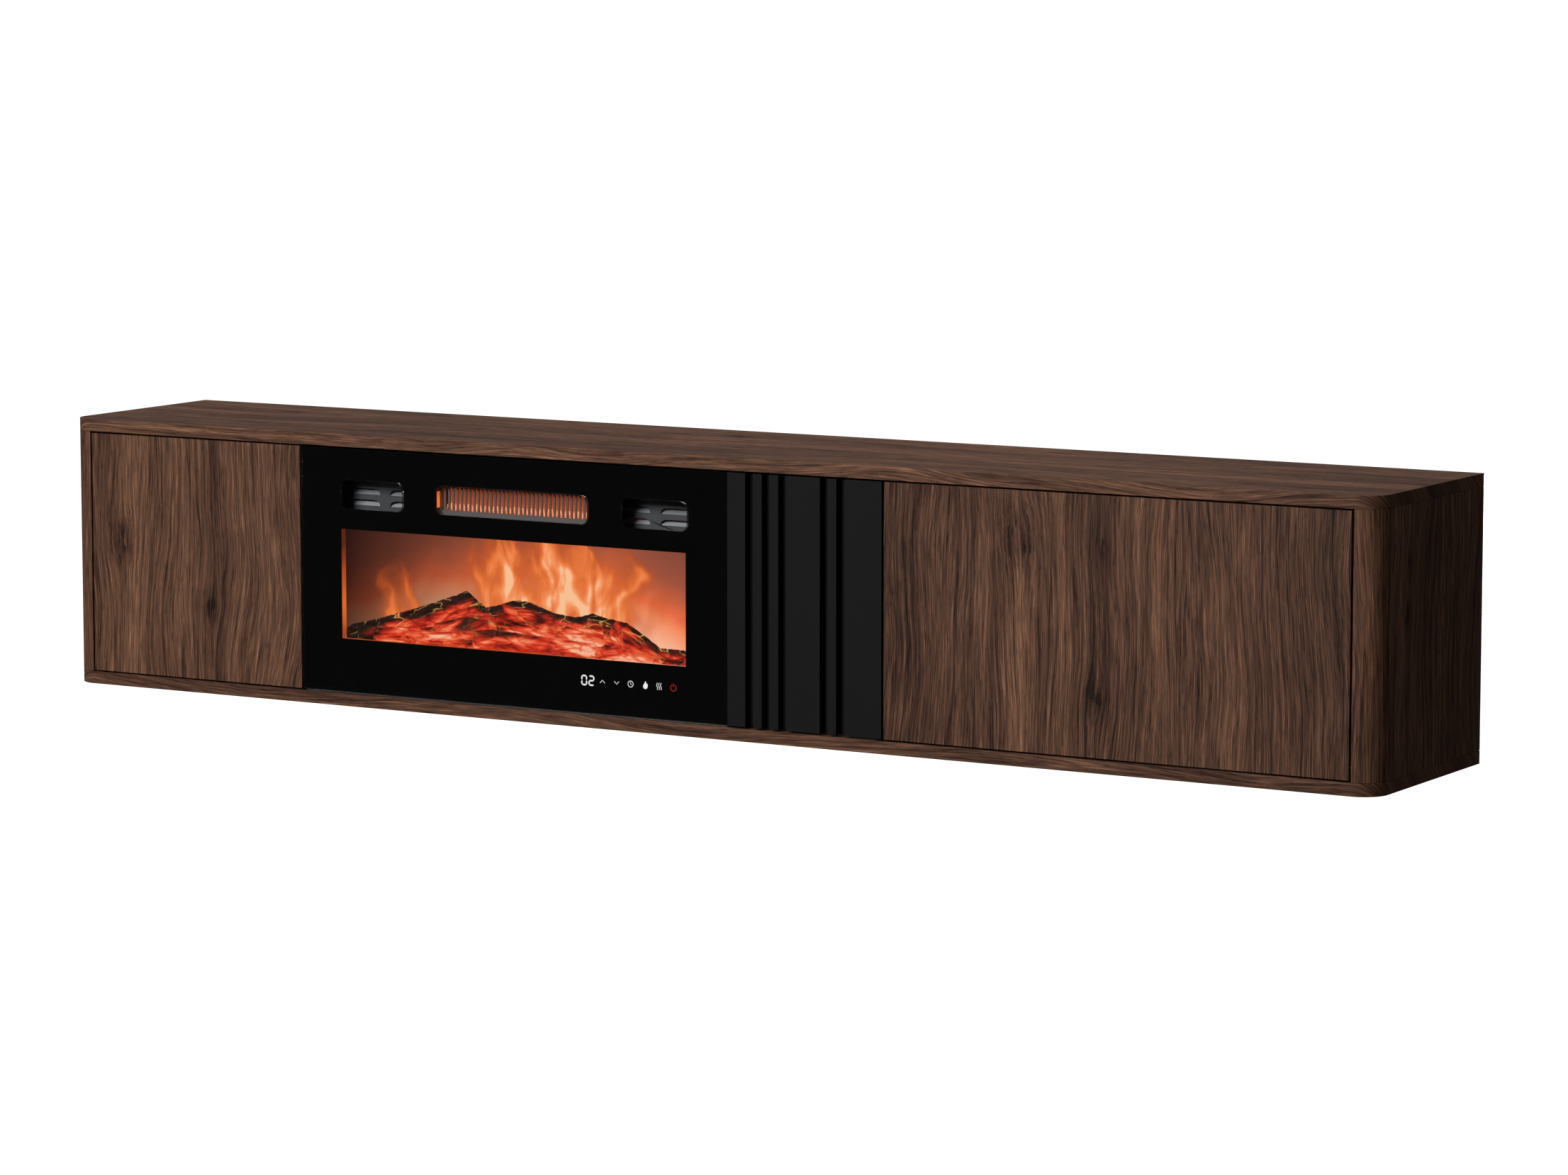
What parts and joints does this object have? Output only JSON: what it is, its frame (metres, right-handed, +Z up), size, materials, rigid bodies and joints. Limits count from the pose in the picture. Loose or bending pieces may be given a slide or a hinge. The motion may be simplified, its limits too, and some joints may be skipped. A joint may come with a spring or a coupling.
{
  "type": "wall-hung lowboard with electric fireplace",
  "caption": "Long wall-hung television lowboard with rounded front corners, an electric fireplace insert with heater behind black glass, a slatted panel and push-to-open doors.",
  "frame": {"origin": "middle of the footprint, on the underside", "axes": "+X to the right seen from the front, -Y out of the front, +Z up"},
  "size_m": [2, 0.319, 0.373],
  "materials": {
    "walnut": "walnut decor laminate, satin, open grain embossed",
    "black_mdf": "black foiled MDF, matte",
    "black_hdf": "black lacquered hardboard",
    "front_glass": "toughened glass, polished, printed black on its back",
    "black_steel": "black powder coat",
    "zinc_steel": "zinc plated sheet",
    "grille_grey": "grey heat-proof paint",
    "louvre_grey": "dark grey paint, satin",
    "screen_plastic": "translucent acrylic lit from behind",
    "log_resin": "moulded translucent resin, hand painted as charred wood",
    "circuit_board": "green solder mask",
    "dark_plastic": "black moulded plastic",
    "white_plastic": "white moulded plastic",
    "brass": "turned brass",
    "aluminium": "bare bright sheet"
  },
  "bodies": {
    "lowboard": {"top_panel": "walnut", "bottom_panel": "walnut", "left_corner_post": "walnut", "right_corner_post": "walnut", "left_side_panel": "walnut", "right_side_panel": "walnut", "left_partition": "walnut", "centre_partition": "walnut", "right_partition": "walnut", "left_back_panel": "black_hdf", "right_back_panel": "black_hdf", "left_wall_hanger": "zinc_steel", "right_wall_hanger": "zinc_steel", "housing_top": "zinc_steel", "housing_bottom": "zinc_steel", "housing_left": "zinc_steel", "housing_right": "zinc_steel", "deck_plate": "zinc_steel", "rear_cover": "zinc_steel", "spindle_motor": "zinc_steel", "heater_duct": "zinc_steel", "blower_scroll": "zinc_steel", "left_door_upper_bush": "brass", "left_door_lower_bush": "brass", "right_door_left_bush": "brass", "right_door_right_bush": "brass", "left_latch_body": "white_plastic", "right_latch_body": "white_plastic", "spindle_bearing": "white_plastic", "thermal_cutout": "white_plastic", "power_inlet": "dark_plastic", "blower_motor": "dark_plastic", "display_module": "dark_plastic", "slat_panel": "black_mdf", "front_glass": "front_glass", "frame_top": "black_steel", "frame_bottom": "black_steel", "frame_left": "black_steel", "frame_right": "black_steel", "flame_screen": "screen_plastic", "log_set": "log_resin", "ember_led_board": "circuit_board", "flame_led_board": "circuit_board", "touch_board": "circuit_board", "power_board": "circuit_board", "flame_stencil": "aluminium", "heating_element": "aluminium", "heater_grille": "grille_grey", "left_vent_plate": "louvre_grey", "right_vent_plate": "louvre_grey"},
    "left_door": {"left_door": "walnut", "left_door_upper_pin": "zinc_steel", "left_door_lower_pin": "zinc_steel"},
    "right_door": {"right_door": "walnut", "right_door_left_pin": "zinc_steel", "right_door_right_pin": "zinc_steel"},
    "left_plunger": {"left_latch_plunger": "dark_plastic"},
    "right_plunger": {"right_latch_plunger": "dark_plastic"},
    "flame_spindle": {"flame_spindle": "aluminium"},
    "blower_wheel": {"blower_wheel": "aluminium"}
  },
  "joints": [
    {"name": "left_door_hinge", "type": "hinge", "parent": "lowboard", "child": "left_door", "pos_m": [-0.947, -0.1535, 0.1865], "axis": [0, 0, -1], "range_deg": [0, 100]},
    {"name": "right_door_hinge", "type": "hinge", "parent": "lowboard", "child": "right_door", "pos_m": [0.6342, -0.1535, 0.0345], "axis": [1, 0, 0], "range_deg": [0, 90]},
    {"name": "left_latch_press", "type": "slide", "parent": "lowboard", "child": "left_plunger", "axis": [0, 1, 0], "range_m": [0, 0.003], "stiffness_N_per_m": 400},
    {"name": "right_latch_press", "type": "slide", "parent": "lowboard", "child": "right_plunger", "axis": [0, 1, 0], "range_m": [0, 0.003], "stiffness_N_per_m": 400},
    {"name": "flame_spindle_spin", "type": "hinge", "parent": "lowboard", "child": "flame_spindle", "pos_m": [-0.27, -0.0895, 0.11], "axis": [1, 0, 0], "continuous": true},
    {"name": "blower_spin", "type": "hinge", "parent": "lowboard", "child": "blower_wheel", "pos_m": [-0.265, -0.0655, 0.298], "axis": [1, 0, 0], "continuous": true}
  ]
}
